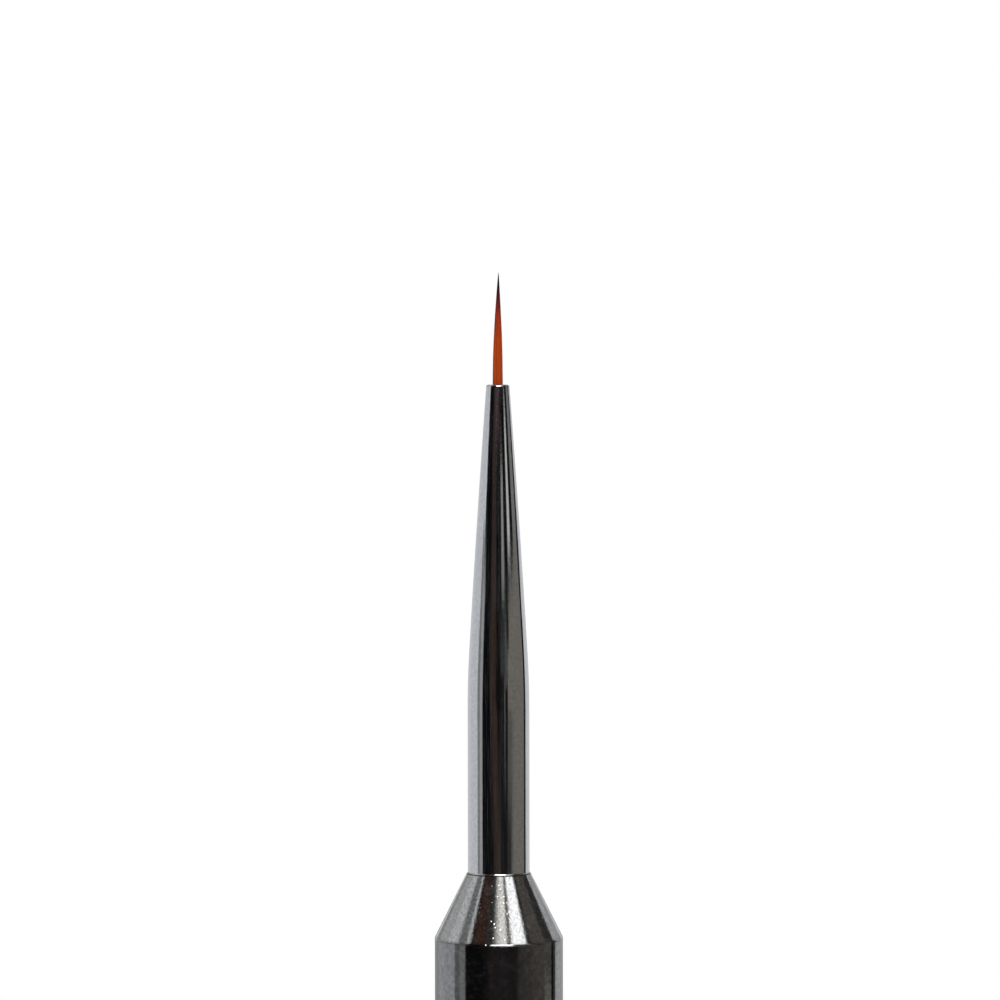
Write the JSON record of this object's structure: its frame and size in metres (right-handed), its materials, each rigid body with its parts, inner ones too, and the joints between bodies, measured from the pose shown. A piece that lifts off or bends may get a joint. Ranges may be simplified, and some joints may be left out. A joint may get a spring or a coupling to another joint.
{
  "type": "fine detail brush",
  "caption": "Round fine-pointed detail brush: a bound filament tuft in a long tapered metal ferrule, on a slim metal handle with a cone nose and a flat tail.",
  "frame": {"origin": "centre of the flat tail face, on the brush's axis", "axes": "+Z along the brush from the tail to the point of the hair; X and Y across it, alike by symmetry; the picture's view looks along +Y with +X to the right"},
  "size_m": [0.01, 0.01, 0.15],
  "materials": {
    "plated_ferrule": "bright nickel-chrome plate on a drawn brass tube, fine draw lines",
    "plated_nose": "bright plate on a turned brass cone, faint turning marks",
    "plated_barrel": "bright plate on a brass tube, polished",
    "plated_tail": "bright plate on a turned brass plug, polished",
    "filament": "tapered synthetic filament, red-brown to a near-black point",
    "binding": "waxed polyester thread",
    "resin": "set epoxy resin, amber",
    "core_wood": "plain turned birch"
  },
  "bodies": {
    "handle": {"tail_plug": "plated_tail", "barrel": "plated_barrel", "core_rod": "core_wood", "nose_cone": "plated_nose", "ferrule": "plated_ferrule", "hair_root": "filament", "root_thread": "binding", "root_resin": "resin", "ferrule_glue_rear": "resin", "ferrule_glue_front": "resin", "nose_glue_rear": "resin", "nose_glue_front": "resin", "tail_glue_rear": "resin", "tail_glue_front": "resin"},
    "tuft": {"hair_tuft": "filament"}
  },
  "joints": [
    {"name": "tuft_flex", "type": "hinge", "parent": "handle", "child": "tuft", "pos_m": [0, 0, 0.1417], "axis": [0, 1, 0], "range_deg": [-40, 40], "stiffness_Nm_per_rad": 0.0002}
  ]
}
